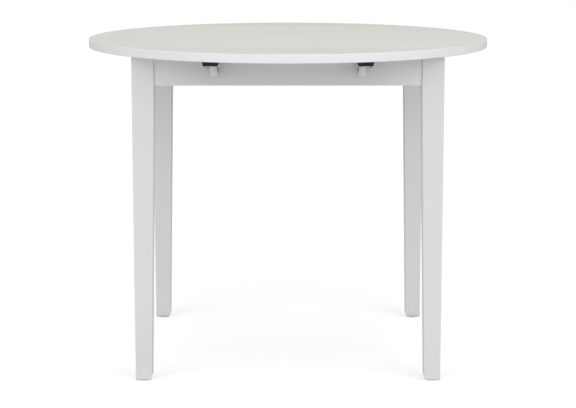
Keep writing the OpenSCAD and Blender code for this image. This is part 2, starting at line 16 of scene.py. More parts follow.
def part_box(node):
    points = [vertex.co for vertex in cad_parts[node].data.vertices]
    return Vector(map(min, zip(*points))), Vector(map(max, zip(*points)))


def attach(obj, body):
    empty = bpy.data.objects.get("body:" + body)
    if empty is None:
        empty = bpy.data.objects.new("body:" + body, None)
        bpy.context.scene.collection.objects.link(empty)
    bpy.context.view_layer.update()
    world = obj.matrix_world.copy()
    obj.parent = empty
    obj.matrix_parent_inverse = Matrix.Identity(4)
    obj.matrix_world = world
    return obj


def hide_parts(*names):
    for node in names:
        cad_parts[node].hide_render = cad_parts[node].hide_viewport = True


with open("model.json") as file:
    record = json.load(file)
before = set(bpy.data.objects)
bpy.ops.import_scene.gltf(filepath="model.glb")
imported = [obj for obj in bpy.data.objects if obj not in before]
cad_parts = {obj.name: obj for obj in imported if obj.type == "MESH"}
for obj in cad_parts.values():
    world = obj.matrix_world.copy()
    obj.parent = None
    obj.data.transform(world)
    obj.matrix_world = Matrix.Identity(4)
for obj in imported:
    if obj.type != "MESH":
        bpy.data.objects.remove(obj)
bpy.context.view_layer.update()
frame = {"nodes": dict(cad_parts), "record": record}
nodes = frame["nodes"]
body_of_node = {n: b for b, names in frame["record"]["behaviour"]["bodies"].items() for n in names}
slot_of_node = {s["node"]: s["material_slot"] for s in frame["record"]["subparts"]}
MM = 0.001

# %% [markdown]
# ## Names and places
# Left and right, front and rear are mirror images, so most pieces are made by a loop over the four
# quarters. A quarter is named as the nodes are, and has a sign along X and a sign along Y.

# %% The four quarters
QUARTERS = {
    "front_left": (-1, -1),
    "front_right": (1, -1),
    "rear_left": (-1, 1),
    "rear_right": (1, 1),
}
top_low, top_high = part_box("centre_board_band")
top_z, under_z = top_high.z, top_low.z
top_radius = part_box("rear_leaf_band")[1].y
seam_y = (top_high.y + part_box("rear_leaf_band")[0].y) / 2
band_width = top_high.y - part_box("centre_board")[1].y
print(f"top radius {top_radius:.4f}, seam at {seam_y:.4f}, band {band_width / MM:.1f} mm wide")

# %% [markdown]
# ## Shared surface effects
# Several finishes need the same few effects, so each is a node group with named sockets, built once:
# a soft **cloud** that varies tone and gloss by a few per cent as hands and cloths do, a **grain**
# stretched along one axis for wood and rolled sheet, and a **pearl** of fine pebbles for pressed
# laminate, nylon and coated steel.

# %% Helpers for node groups
def new_group(name, inputs, outputs):
    """A shader node group with named float inputs {name: default} and outputs {name: kind}."""
    group = bpy.data.node_groups.new(name, "ShaderNodeTree")
    for label, default in inputs.items():
        socket = group.interface.new_socket(label, in_out="INPUT", socket_type="NodeSocketFloat")
        socket.default_value = default
    for label, kind in outputs.items():
        group.interface.new_socket(label, in_out="OUTPUT", socket_type="NodeSocket" + kind)
    ends = group.nodes.new("NodeGroupInput"), group.nodes.new("NodeGroupOutput")
    return group, ends[0], ends[1]


def add_node(tree, kind, **settings):
    """A node with its properties and its unlinked input values set by name."""
    made = tree.nodes.new("ShaderNode" + kind)
    values = settings.pop("values", {})
    for key, value in settings.items():
        setattr(made, key, value)
    for key, value in values.items():
        made.inputs[key].default_value = value
    return made


# A Mix node has sockets for numbers, vectors and colours under the same labels, so its colour ones go
# by their places
MIX_FIRST, MIX_SECOND, MIX_RESULT = 6, 7, 2
print("helpers for node groups ready")

# %% Cloud, a slow variation of tone and gloss
# Noise rarely leaves this span, so the cloud stretches it to the whole range
NOISE_LOW, NOISE_HIGH = 0.32, 0.68


def make_cloud():
    """Soft noise between Low and High."""
    group, start, end = new_group(
        "Cloud", {"Size": 6.0, "Low": 0.0, "High": 1.0}, {"Value": "Float"})
    place = add_node(group, "TexCoord")
    noise = add_node(group, "TexNoise", values={"Detail": 5.0, "Roughness": 0.55})
    spread = add_node(group, "MapRange", values={"From Min": NOISE_LOW, "From Max": NOISE_HIGH})
    group.links.new(place.outputs["Object"], noise.inputs["Vector"])
    group.links.new(start.outputs["Size"], noise.inputs["Scale"])
    group.links.new(noise.outputs["Fac"], spread.inputs["Value"])
    group.links.new(start.outputs["Low"], spread.inputs["To Min"])
    group.links.new(start.outputs["High"], spread.inputs["To Max"])
    group.links.new(spread.outputs["Result"], end.inputs["Value"])
    return group


# %% Grain, long streaks along one axis
# The bold streaks are this much coarser than the fine ones
STREAK_SHARE = 0.3


def make_grain():
    """Fine and bold noise, drawn out along the axis whose stretch is below 1."""
    group, start, end = new_group(
        "Grain", {"Stretch X": 1.0, "Stretch Y": 1.0, "Stretch Z": 1.0, "Size": 90.0},
        {"Height": "Float", "Streak": "Float"})
    place = add_node(group, "TexCoord")
    stretch = add_node(group, "CombineXYZ")
    turn = add_node(group, "VectorMath", operation="MULTIPLY")
    fine = add_node(group, "TexNoise", values={"Detail": 4.0, "Roughness": 0.62, "Distortion": 0.4})
    bold = add_node(group, "TexNoise", values={"Detail": 2.0, "Roughness": 0.5, "Distortion": 0.8})
    wider = add_node(group, "Math", operation="MULTIPLY", values={1: STREAK_SHARE})
    for axis in "XYZ":
        group.links.new(start.outputs["Stretch " + axis], stretch.inputs[axis])
    group.links.new(place.outputs["Object"], turn.inputs[0])
    group.links.new(stretch.outputs["Vector"], turn.inputs[1])
    group.links.new(turn.outputs["Vector"], fine.inputs["Vector"])
    group.links.new(turn.outputs["Vector"], bold.inputs["Vector"])
    group.links.new(start.outputs["Size"], fine.inputs["Scale"])
    group.links.new(start.outputs["Size"], wider.inputs[0])
    group.links.new(wider.outputs["Value"], bold.inputs["Scale"])
    group.links.new(fine.outputs["Fac"], end.inputs["Height"])
    group.links.new(bold.outputs["Fac"], end.inputs["Streak"])
    return group


# %% Pearl, the fine pebbles of pressed laminate, nylon and coated steel
def make_pearl():
    """Round cells with a little noise on them."""
    group, start, end = new_group("Pearl", {"Size": 900.0}, {"Height": "Float"})
    place = add_node(group, "TexCoord")
    cells = add_node(group, "TexVoronoi", feature="SMOOTH_F1", values={"Smoothness": 0.7})
    noise = add_node(group, "TexNoise", values={"Detail": 3.0, "Roughness": 0.6})
    both = add_node(group, "Math", operation="ADD")
    group.links.new(place.outputs["Object"], cells.inputs["Vector"])
    group.links.new(place.outputs["Object"], noise.inputs["Vector"])
    group.links.new(start.outputs["Size"], cells.inputs["Scale"])
    group.links.new(start.outputs["Size"], noise.inputs["Scale"])
    group.links.new(cells.outputs["Distance"], both.inputs[0])
    group.links.new(noise.outputs["Fac"], both.inputs[1])
    group.links.new(both.outputs["Value"], end.inputs["Height"])
    return group


CLOUD, GRAIN, PEARL = make_cloud(), make_grain(), make_pearl()
print("node groups:", CLOUD.name, GRAIN.name, PEARL.name)


# %% [markdown]
# ## Finishes
# Every finish is a Principled shader whose base colour moves between two close tones, whose roughness
# varies with the cloud and whose bump comes from the pearl or the grain. Numbers that are the same all
# over the surface sit on the shader's own sockets.

# %% A finish with two tones and one relief
# How tall the reliefs are, in metres, and how much finer the gloss's cloud is than the tone's
PEARL_HEIGHT, LACQUER_HEIGHT, BEECH_HEIGHT, STEEL_HEIGHT = 0.0004, 0.0006, 0.0004, 0.0003
GLOSS_FINER = 2.3


def new_finish(name, tone_a, tone_b, rough, cloud_size, metallic=0.0, coat=0.0, coat_rough=0.2):
    """A material whose tone and roughness vary with a cloud. Returns it with its tree and shader."""
    material = bpy.data.materials.new(name)
    material.use_nodes = True
    tree = material.node_tree
    shader = tree.nodes["Principled BSDF"]
    shader.inputs["Metallic"].default_value = metallic
    shader.inputs["Coat Weight"].default_value = coat
    shader.inputs["Coat Roughness"].default_value = coat_rough
    tone = add_node(tree, "Group", node_tree=CLOUD, values={"Size": cloud_size})
    gloss = add_node(tree, "Group", node_tree=CLOUD, values={
        "Size": cloud_size * GLOSS_FINER, "Low": rough[0], "High": rough[1]})
    mix = add_node(tree, "Mix", data_type="RGBA")
    mix.inputs[MIX_FIRST].default_value = (*tone_a, 1)
    mix.inputs[MIX_SECOND].default_value = (*tone_b, 1)
    tree.links.new(tone.outputs["Value"], mix.inputs["Factor"])
    tree.links.new(mix.outputs[MIX_RESULT], shader.inputs["Base Color"])
    tree.links.new(gloss.outputs["Value"], shader.inputs["Roughness"])
    return material, tree, shader


def add_relief(tree, shader, height, strength, distance):
    """Feeds a height through a Bump node to the shader's normal."""
    bump = add_node(tree, "Bump", values={"Strength": strength, "Distance": distance})
    tree.links.new(height, bump.inputs["Height"])
    tree.links.new(bump.outputs["Normal"], shader.inputs["Normal"])


def pearl_finish(name, tones, rough, cloud_size, pearl_size, strength, specular=0.5):
    """A moulded or pressed surface with two close tones and a pearl relief."""
    material, tree, shader = new_finish(name, *tones, rough, cloud_size)
    shader.inputs["Specular IOR Level"].default_value = specular
    pearl = add_node(tree, "Group", node_tree=PEARL, values={"Size": pearl_size})
    add_relief(tree, shader, pearl.outputs["Height"], strength, PEARL_HEIGHT)
    return material


print("recipes for finishes ready")


# %% Board faces, edge band and nylon
# The leaves are a shade darker than the centre board
LAMINATE = {"rough": (0.5, 0.62), "cloud_size": 3.0, "pearl_size": 700.0, "strength": 0.1, "specular": 0.2}
CENTRE_TONES = (0.765, 0.772, 0.715), (0.79, 0.797, 0.742)
LEAF_TONES = (0.735, 0.742, 0.69), (0.76, 0.767, 0.715)
BAND_TONES = (0.84, 0.86, 0.895), (0.865, 0.885, 0.915)
NYLON_TONES = (0.62, 0.62, 0.60), (0.70, 0.70, 0.68)
LEAF_WHITE = pearl_finish("satin_laminate_leaf", LEAF_TONES, **LAMINATE)
FINISH = {
    "top_white": pearl_finish("satin_laminate", CENTRE_TONES, **LAMINATE),
    "edge_white": pearl_finish("edge_band_plastic", BAND_TONES, (0.30, 0.42), 9.0, 1100.0, 0.05),
    "nylon_glide": pearl_finish("moulded_nylon", NYLON_TONES, (0.45, 0.65), 60.0, 1600.0, 0.2),
}
print("board finishes:", [m.name for m in FINISH.values()], LEAF_WHITE.name)

# %% [markdown]
# The frame is sprayed with white lacquer over solid wood. Lacquer hides the colour but not the relief,
# so a very faint grain shows along each member: upright on the legs, lengthwise on the aprons. The
# same recipe is built once for each direction, because a pattern must run along its own piece.

# %% Lacquered wood, one finish for each direction of the grain
LACQUER_TONES = (0.76, 0.778, 0.772), (0.79, 0.808, 0.802)


def lacquer_finish(name, stretch):
    """White lacquer whose faint grain is squeezed by stretch along X, Y and Z."""
    material, tree, shader = new_finish(
        name, *LACQUER_TONES, (0.34, 0.48), 4.0, coat=0.15, coat_rough=0.25)
    grain = add_node(tree, "Group", node_tree=GRAIN, values={
        "Stretch X": stretch[0], "Stretch Y": stretch[1], "Stretch Z": stretch[2], "Size": 120.0})
    add_relief(tree, shader, grain.outputs["Height"], 0.10, LACQUER_HEIGHT)
    return material


ALONG = 0.06
LACQUER = {
    "x": lacquer_finish("lacquer_along_x", (ALONG, 1, 1)),
    "y": lacquer_finish("lacquer_along_y", (1, ALONG, 1)),
    "z": lacquer_finish("lacquer_along_z", (1, 1, ALONG)),
}
FINISH["frame_white"] = LACQUER["z"]
print("lacquers:", [m.name for m in LACQUER.values()])


# %% Raw beech for the dowels
def beech_finish():
    """Pale raw wood with darker streaks along X."""
    material, tree, shader = new_finish(
        "raw_beech", (0.50, 0.33, 0.18), (0.62, 0.43, 0.25), (0.6, 0.8), 25.0)
    grain = add_node(tree, "Group", node_tree=GRAIN, values={"Size": 400.0, "Stretch X": 0.2})
    streak = add_node(tree, "Mix", data_type="RGBA", blend_type="MULTIPLY")
    streak.inputs["Factor"].default_value = 0.5
    old = shader.inputs["Base Color"].links[0].from_socket
    tree.links.new(old, streak.inputs[MIX_FIRST])
    tree.links.new(grain.outputs["Streak"], streak.inputs[MIX_SECOND])
    tree.links.new(streak.outputs[MIX_RESULT], shader.inputs["Base Color"])
    add_relief(tree, shader, grain.outputs["Height"], 0.4, BEECH_HEIGHT)
    return material


FINISH["beech_dowel"] = beech_finish()
print("dowel finish:", FINISH["beech_dowel"].name)

# %% [markdown]
# ## Steel
# The moving wings are black, the fixed brackets have a dull yellow passivate, and everything else is
# bright zinc. Zinc plate shows fine rolling streaks and small duller patches. The coloured coats are
# slightly pebbled, and paler where handling has rubbed them. A cloud whose low end is far below zero
# gives such patches, because the mix only takes what is above zero.

# %% Zinc plate
def zinc_finish():
    """Bright zinc with fine streaks, partly a mirror and partly a pale grey."""
    material, tree, shader = new_finish(
        "bright_zinc", (0.91, 0.915, 0.93), (0.955, 0.96, 0.97), (0.28, 0.42), 55.0, metallic=0.3)
    grain = add_node(tree, "Group", node_tree=GRAIN, values={
        "Stretch X": 1.0, "Stretch Y": 1.0, "Stretch Z": 0.12, "Size": 320.0})
    add_relief(tree, shader, grain.outputs["Streak"], 0.08, STEEL_HEIGHT)
    return material


# %% Coated steel, rubbed in places
COAT_SPREAD = 1.3
RUB_LOW, RUB_HIGH = -2.6, 0.55


def coated_finish(name, coat_tone, rub_tone, rough):
    """A thin coat on steel, with patches that handling has rubbed paler."""
    lighter = [c * COAT_SPREAD for c in coat_tone]
    material, tree, shader = new_finish(name, coat_tone, lighter, rough, 40.0, metallic=0.3)
    rub = add_node(tree, "Group", node_tree=CLOUD, values={
        "Size": 120.0, "Low": RUB_LOW, "High": RUB_HIGH})
    over = add_node(tree, "Mix", data_type="RGBA")
    over.inputs[MIX_SECOND].default_value = (*rub_tone, 1)
    over.clamp_factor = True
    old = shader.inputs["Base Color"].links[0].from_socket
    tree.links.new(rub.outputs["Value"], over.inputs["Factor"])
    tree.links.new(old, over.inputs[MIX_FIRST])
    tree.links.new(over.outputs[MIX_RESULT], shader.inputs["Base Color"])
    pearl = add_node(tree, "Group", node_tree=PEARL, values={"Size": 1500.0})
    add_relief(tree, shader, pearl.outputs["Height"], 0.25, STEEL_HEIGHT)
    return material


FINISH["zinc_steel"] = zinc_finish()
FINISH["black_steel"] = coated_finish(
    "black_coat", (0.012, 0.012, 0.013), (0.09, 0.09, 0.09), (0.4, 0.6))
FINISH["brown_steel"] = coated_finish(
    "yellow_passivate", (0.30, 0.275, 0.20), (0.50, 0.46, 0.36), (0.35, 0.5))
print("finishes:", sorted(FINISH), "missing:", set(slot_of_node.values()) - set(FINISH))


# %% [markdown]
# ## Making pieces
# A piece is built as a bmesh in the row's frame, so its object stays at the origin. `make_piece` turns
# the bmesh into an object, gives it its finish, hides the CAD node that it stands for and makes it ride
# on that node's body. Its shading is smooth, with the normals led by the large faces: a flat face then
# stays flat right up to the small round along its edge.

# %% From bmesh to a riding piece
# Points closer than SAME_PLACE metres are one point. FACE_LEAD is how strongly large faces lead
SAME_PLACE = 1e-6
FACE_LEAD = 50


def make_piece(name, bm, stands_for, finish=None, smooth_angle=35):
    """An object from bm, in the place of the CAD nodes stands_for, riding on their body."""
    bmesh.ops.remove_doubles(bm, verts=bm.verts, dist=SAME_PLACE)
    bmesh.ops.recalc_face_normals(bm, faces=bm.faces)
    mesh = bpy.data.meshes.new(name)
    bm.to_mesh(mesh)
    bm.free()
    mesh.shade_smooth()
    mesh.set_sharp_from_angle(angle=math.radians(smooth_angle))
    piece = bpy.data.objects.new(name, mesh)
    bpy.context.scene.collection.objects.link(piece)
    weighted = piece.modifiers.new("large_faces_lead", "WEIGHTED_NORMAL")
    weighted.mode, weighted.weight, weighted.keep_sharp = "FACE_AREA", FACE_LEAD, True
    slot = slot_of_node[stands_for[0]]
    mesh.materials.append(finish or FINISH[slot])
    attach(piece, body_of_node[stands_for[0]])
    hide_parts(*stands_for)
    return piece


def bevel(bm, edges, width, segments=3):
    """Rounds the edges, with no more width than the faces beside them leave."""
    bmesh.ops.bevel(bm, geom=list(edges), offset=width, offset_type="OFFSET", affect="EDGES",
                    segments=segments, profile=0.5, material=-1, clamp_overlap=True)


def sharp_edges(bm, degrees=30):
    """The edges where two faces meet at more than this angle."""
    limit = math.radians(degrees)
    return [e for e in bm.edges if len(e.link_faces) == 2 and e.calc_face_angle(0) > limit]


print("piece maker ready, for", len(set(slot_of_node.values())), "slots")

# %% [markdown]
# ## Edge bands
# Each board carries a 2 mm plastic band whose corners are rounded by a scraper. The band is a closed
# ring as high as the board. It starts as a disc cut by planes at the seams, its walls are raised by an
# extrusion, the inside is opened by insetting both faces, and the four rims are rounded. The rounded
# rims are what draws the fine bright line along the top's edge and along both seams.

# %% A disc cut to the shape of one board
ROUND_STEPS = 240
BAND_ROUND = 1.6 * MM
# How much of a unit normal points along an axis on a face that is square to it
FLAT = 0.99
seam_half_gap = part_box("rear_leaf_band")[0].y - seam_y


def board_shape(bm, low_y, high_y):
    """A flat face at the underside's height: the top's disc between two lines across Y."""
    bmesh.ops.create_circle(bm, cap_ends=True, segments=ROUND_STEPS, radius=top_radius,
                            matrix=Matrix.Translation((0, 0, under_z)))
    for y, side in ((low_y, -1), (high_y, 1)):
        bmesh.ops.bisect_plane(bm, geom=bm.verts[:] + bm.edges[:] + bm.faces[:], dist=SAME_PLACE / 10,
                               plane_co=(0, y, 0), plane_no=(0, side, 0), clear_outer=True)


def band_piece(name, low_y, high_y):
    """The rounded band of the board between two lines across Y."""
    bm = bmesh.new()
    board_shape(bm, low_y, high_y)
    raised = bmesh.ops.extrude_face_region(bm, geom=bm.faces[:])["geom"]
    lifted = [g for g in raised if isinstance(g, bmesh.types.BMVert)]
    bmesh.ops.translate(bm, verts=lifted, vec=(0, 0, top_z - under_z))
    bm.normal_update()
    flats = [f for f in bm.faces if abs(f.normal.z) > FLAT]
    for face in flats:
        bmesh.ops.inset_region(bm, faces=[face], thickness=band_width, depth=0,
                               use_boundary=True, use_even_offset=True)
    loops = [e for f in flats for e in f.edges]
    bmesh.ops.delete(bm, geom=flats, context="FACES_ONLY")
    bmesh.ops.bridge_loops(bm, edges=loops)
    bm.normal_update()
    outer = [e for e in sharp_edges(bm, 60) if is_outer(e, low_y, high_y)]
    bevel(bm, outer, BAND_ROUND, 4)
    return make_piece(name, bm, [name.replace("_edging", "_band")])


def is_outer(edge, low_y, high_y):
    """True for an edge on the band's outside, and not on the wall that the board fills."""
    for v in edge.verts:
        on_rim = v.co.xy.length > top_radius - band_width / 2
        on_seam = v.co.y < low_y + band_width / 2 or v.co.y > high_y - band_width / 2
        if not (on_rim or on_seam):
            return False
    return True


FAR = 2 * top_radius
centre_half = seam_y - seam_half_gap
band_piece("centre_board_edging", -centre_half, centre_half)
band_piece("front_leaf_edging", -FAR, -seam_y - seam_half_gap)
band_piece("rear_leaf_edging", seam_y + seam_half_gap, FAR)


# %% [markdown]
# ## Eased copies
# Legs, aprons, plates and brackets have the right shape already, but their edges are knife sharp, and a
# real edge never is: a joiner breaks the arrises with sandpaper, and sheet steel leaves the press with
# a small round. A copy of the CAD mesh is welded, its flat areas are dissolved back into single faces,
# and its sharp edges are bevelled. On the wooden parts the short edges are left out, because they
# are the rims of hidden holes. The CAD object itself isn't touched.

# %% Easing the edges of a CAD shape
WELD = 2e-6
FLAT_ANGLE = math.radians(1.0)


def welded_copy(node):
    """A bmesh of the CAD node with its loose triangles welded and its flat areas made single faces."""
    bm = bmesh.new()
    bm.from_mesh(nodes[node].data)
    bmesh.ops.remove_doubles(bm, verts=bm.verts, dist=WELD)
    bmesh.ops.dissolve_limit(bm, angle_limit=FLAT_ANGLE, use_dissolve_boundaries=False,
                             verts=bm.verts[:], edges=bm.edges[:])
    return bm


def eased_copy(node, width, finish=None, segments=2, shortest=0.0, convex=False):
    """The CAD node's shape with its sharp edges rounded, leaving out the short or hollow ones."""
    bm = welded_copy(node)
    edges = [e for e in sharp_edges(bm) if e.calc_length() >= shortest]
    if convex:
        edges = [e for e in edges if e.is_convex]
    bevel(bm, edges, width, segments)
    return make_piece(node + "_eased", bm, [node], finish)


for side, direction in (("front", "x"), ("rear", "x"), ("left", "y"), ("right", "y")):
    eased_copy("apron_" + side, 0.8 * MM, LACQUER[direction], shortest=4 * MM)
for quarter in QUARTERS:
    eased_copy("leg_" + quarter, 1.6 * MM, LACQUER["z"], segments=3, shortest=3 * MM)
    eased_copy("glide_" + quarter, 0.5 * MM, segments=3)
    eased_copy("corner_plate_" + quarter, 0.5 * MM)
    eased_copy("hinge_bracket_" + quarter, 0.4 * MM)
    eased_copy("hinge_wing_" + quarter, 0.5 * MM)
for node in ("top_fixing_brackets", "bolt_washers", "wing_nuts"):
    eased_copy(node, 0.35 * MM)
print("eased copies made")

# %% [markdown]
# ## Pins
# The hinge pins and the lever pins are rivets. Their heads are domed by the hammer, so the rim of each
# head gets a round nearly as deep as the head itself. The hollow corner under the head stays sharp.

# %% Domed rivets
for quarter in QUARTERS:
    eased_copy("hinge_pin_" + quarter, 1.1 * MM, segments=5, convex=True)
    eased_copy("lever_pin_" + quarter, 0.6 * MM, segments=4, convex=True)
print("pins domed")

# %% [markdown]
# ## Release levers
# Each lever ends in a tab for a finger. It is pressed from sheet with a rounded rim that stands a
# little proud round a shallow dish, which makes it stiff and gives the fingertip a hold. A cut across
# the lever parts the tab's flat faces from the arm. Each face is inset, and inset again while it sinks.

# %% Levers with a dished tab
DISH_RIM, DISH_DEPTH, DISH_REACH = 1.4 * MM, 0.45 * MM, 22 * MM
TAB_ROUND = 0.4 * MM


def lever_piece(quarter):
    """A release lever with a dish in the front and the back of its tab."""
    node = "release_lever_" + quarter
    bm = welded_copy(node)
    cut_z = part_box(node)[0].z + DISH_REACH
    bmesh.ops.bisect_plane(bm, geom=bm.verts[:] + bm.edges[:] + bm.faces[:],
                           plane_co=(0, 0, cut_z), plane_no=(0, 0, 1))
    bm.normal_update()
    for side in (-1, 1):
        facing = [f for f in bm.faces if f.normal.y * side > FLAT and f.calc_center_median().z < cut_z]
        tab = max(facing, key=lambda f: f.calc_area())
        bmesh.ops.inset_region(bm, faces=[tab], thickness=DISH_RIM, depth=0, use_even_offset=True)
        bmesh.ops.inset_region(bm, faces=[tab], thickness=DISH_DEPTH, depth=-DISH_DEPTH,
                               use_even_offset=True)
    bm.normal_update()
    bevel(bm, sharp_edges(bm), TAB_ROUND)
    return make_piece(node + "_dished", bm, [node])


for quarter in QUARTERS:
    lever_piece(quarter)
print("levers dished")

# %% [markdown]
# ## Springs
# A torsion spring on each lever pin pushes the lever home. The coil is a small circle of wire spun
# several turns round the pin while it steps along it. The two straight ends are extruded from the
# coil's end rings along the wire's direction there.

# %% Torsion springs
WIRE_R, COIL_R, COIL_HALF = 0.6 * MM, 3.3 * MM, 4.2 * MM
COIL_START, COIL_TURN = math.radians(200), math.radians(6 * 360 + 70)
COIL_STEPS, WIRE_SIDES = 150, 10
END_LENGTHS = (13 * MM, 12 * MM)


def spring_piece(quarter, sx, sy):
    """A wound spring on the lever pin, mirrored into its quarter."""
    node = "lever_spring_" + quarter
    bm = bmesh.new()
    bmesh.ops.create_circle(bm, segments=WIRE_SIDES, radius=WIRE_R)
    first = bm.edges[:]
    # The circle lies across Y and Z at the coil's start, standing on the radius at that angle
    bmesh.ops.translate(bm, vec=(COIL_R, 0, 0), verts=bm.verts)
    bmesh.ops.rotate(bm, matrix=Matrix.Rotation(math.pi / 2, 3, "X"), verts=bm.verts)
    bmesh.ops.rotate(bm, matrix=Matrix(((0, 0, 1), (1, 0, 0), (0, 1, 0))), verts=bm.verts)
    bmesh.ops.rotate(bm, matrix=Matrix.Rotation(COIL_START, 3, "X"), verts=bm.verts)
    bmesh.ops.translate(bm, vec=(COIL_HALF, 0, 0), verts=bm.verts)
    turned = bmesh.ops.spin(bm, geom=first, cent=(0, 0, 0), axis=(1, 0, 0), angle=COIL_TURN,
                            dvec=(-2 * COIL_HALF / COIL_STEPS, 0, 0), steps=COIL_STEPS)
    last = [g for g in turned["geom_last"] if isinstance(g, bmesh.types.BMEdge)]
    straight_end(bm, first, COIL_START, -END_LENGTHS[0])
    straight_end(bm, last, COIL_START + COIL_TURN, END_LENGTHS[1])
    low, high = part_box("lever_pin_" + quarter)
    place = Matrix.Translation((low + high) / 2) @ Matrix.Diagonal((sx, sy, 1, 1))
    bmesh.ops.transform(bm, matrix=place, verts=bm.verts)
    return make_piece(node + "_wound", bm, [node])


def straight_end(bm, ring, angle, length):
    """Extrudes an end ring along the wire's direction at that angle and closes it."""
    travel = Vector((0, -math.sin(angle), math.cos(angle))) * length
    out = bmesh.ops.extrude_edge_only(bm, edges=ring)["geom"]
    verts = [g for g in out if isinstance(g, bmesh.types.BMVert)]
    bmesh.ops.translate(bm, vec=travel, verts=verts)
    edges = [g for g in out if isinstance(g, bmesh.types.BMEdge)
             and g.verts[0] in verts and g.verts[1] in verts]
    bmesh.ops.contextual_create(bm, geom=edges)


for quarter, (sx, sy) in QUARTERS.items():
    spring_piece(quarter, sx, sy)
print("springs wound")

# %% [markdown]
# ## Screws
# All screws are pan heads with a cross recess. The head and shank are a profile spun round the axis,
# with a round hole left in the top of the head. A cross-shaped face is pushed down to make the recess,
# and its outline is bridged to that hole. Each screw takes its place, direction and sizes from the
# separate solids in its CAD node, and is turned a little differently from its neighbour.

# %% Finding the separate solids in a node
def solids_in(node):
    """The vertex places of each separate solid in a CAD node."""
    bm = bmesh.new()
    bm.from_mesh(nodes[node].data)
    bmesh.ops.remove_doubles(bm, verts=bm.verts, dist=WELD)
    found, seen = [], set()
    for start in bm.verts:
        if start in seen:
            continue
        seen.add(start)
        group, to_visit = [], [start]
        while to_visit:
            vert = to_visit.pop()
            group.append(vert.co.copy())
            near = [e.other_vert(vert) for e in vert.link_edges]
            fresh = [v for v in near if v not in seen]
            seen.update(fresh)
            to_visit.extend(fresh)
        found.append(group)
    bm.free()
    return found


# A point this near to the largest radius is on the head's rim
NEARLY = 0.99


def measure_screw(points):
    """Matrix with +Z from head to tip, and the head's radius and height and the whole length."""
    low = Vector([min(p[i] for p in points) for i in range(3)])
    high = Vector([max(p[i] for p in points) for i in range(3)])
    middle = (low + high) / 2
    axis = max(range(3), key=lambda i: (high - low)[i])
    radius = max(high[i] - low[i] for i in range(3) if i != axis) / 2
    levels = sorted({round(p[axis], 6) for p in points})
    across = [i for i in range(3) if i != axis]
    rim = [p for p in points if max(abs(p[i] - middle[i]) for i in across) > radius * NEARLY]
    head_low = abs(rim[0][axis] - low[axis]) < (high - low)[axis] / 2
    direction = Vector([(1 if head_low else -1) if i == axis else 0 for i in range(3)])
    top = middle.copy()
    top[axis] = low[axis] if head_low else high[axis]
    head = levels[1] - levels[0] if head_low else levels[-1] - levels[-2]
    turn = direction.to_track_quat("Z", "Y").to_matrix().to_4x4()
    return Matrix.Translation(top) @ turn, radius, head, (high - low)[axis]


print("solids in the corner plates' screws:", len(solids_in("corner_plate_screws")))

# %% One screw
# The head's outline as shares of its radius and height, from the recess's hole to its underside
HEAD_SECTION = ((0.62, 0.10), (0.76, 0.20), (0.89, 0.40), (0.97, 0.64), (1.0, 0.86), (0.98, 1.0))
SHANK_R = 1.9 * MM
RECESS_REACH, RECESS_HALF, RECESS_TAPER = 0.52, 0.115, 0.55
RECESS_DEPTH, RECESS_LIP = 1.4 * MM, 0.02
SCREW_STEPS = 24


def add_screw(bm, place, radius, head, length):
    """Adds one cross-recess pan-head screw to bm."""
    fresh = bmesh.new()
    section = [(r * radius, z * head) for r, z in HEAD_SECTION]
    section += [(SHANK_R, head), (SHANK_R, length - 2 * SHANK_R), (0, length)]
    verts = [fresh.verts.new((r, 0, z)) for r, z in section]
    edges = [fresh.edges.new(pair) for pair in zip(verts, verts[1:])]
    bmesh.ops.spin(fresh, geom=verts + edges, cent=(0, 0, 0), axis=(0, 0, 1), angle=2 * math.pi,
                   steps=SCREW_STEPS, use_merge=True)
    bmesh.ops.remove_doubles(fresh, verts=fresh.verts, dist=SAME_PLACE)
    hole = [e for e in fresh.edges if e.is_boundary]
    reach, half = RECESS_REACH * radius, RECESS_HALF * radius
    corner = [(reach, half), (half, half), (half, reach)]
    outline = [Matrix.Rotation(math.pi / 2 * k, 2) @ Vector(p) for k in range(4) for p in corner]
    cross = fresh.faces.new([fresh.verts.new((x, y, RECESS_LIP * head)) for x, y in outline])
    sunk = bmesh.ops.extrude_face_region(fresh, geom=[cross])["geom"]
    floor_verts = [g for g in sunk if isinstance(g, bmesh.types.BMVert)]
    bmesh.ops.translate(fresh, vec=(0, 0, RECESS_DEPTH), verts=floor_verts)
    bmesh.ops.scale(fresh, vec=(RECESS_TAPER, RECESS_TAPER, 1), verts=floor_verts)
    if cross.is_valid:
        bmesh.ops.delete(fresh, geom=[cross], context="FACES_ONLY")
    lip = [e for e in fresh.edges if e.is_boundary and e not in hole]
    bmesh.ops.bridge_loops(fresh, edges=hole + lip)
    bmesh.ops.transform(fresh, matrix=place, verts=fresh.verts)
    mesh = bpy.data.meshes.new("one_screw")
    fresh.to_mesh(mesh)
    fresh.free()
    bm.from_mesh(mesh)
    bpy.data.meshes.remove(mesh)


# %% All screws
SCREW_TURN = 0.7


def screw_set(node):
    """All screws of a CAD node, each turned a little further than the one before."""
    bm = bmesh.new()
    found = solids_in(node)
    for index, points in enumerate(found):
        place, radius, head, length = measure_screw(points)
        add_screw(bm, place @ Matrix.Rotation(SCREW_TURN * index, 4, "Z"), radius, head, length)
    print(node, len(found), "screws")
    return make_piece(node + "_cross", bm, [node], smooth_angle=40)


for node in ("corner_plate_screws", "top_fixing_screws", "hinge_bracket_screws",
             "front_leaf_screws", "rear_leaf_screws"):
    screw_set(node)

# %% [markdown]
# ## Hanger bolts
# A hanger bolt has a coarse wood thread in the leg and a fine machine thread that carries the wing nut.
# The machine thread is the part in view. Its section is a row of ridges at the thread's pitch, spun
# round the bolt's own axis, which runs along the diagonal of the corner.

# %% Threaded bolts
PITCH, THREAD_DEPTH = 1.25 * MM, 0.65 * MM
CREST_START, CREST_END = 0.35, 0.6
BOLT_R, BOLT_BITE = 4 * MM, 34 * MM
BOLT_STEPS = 20


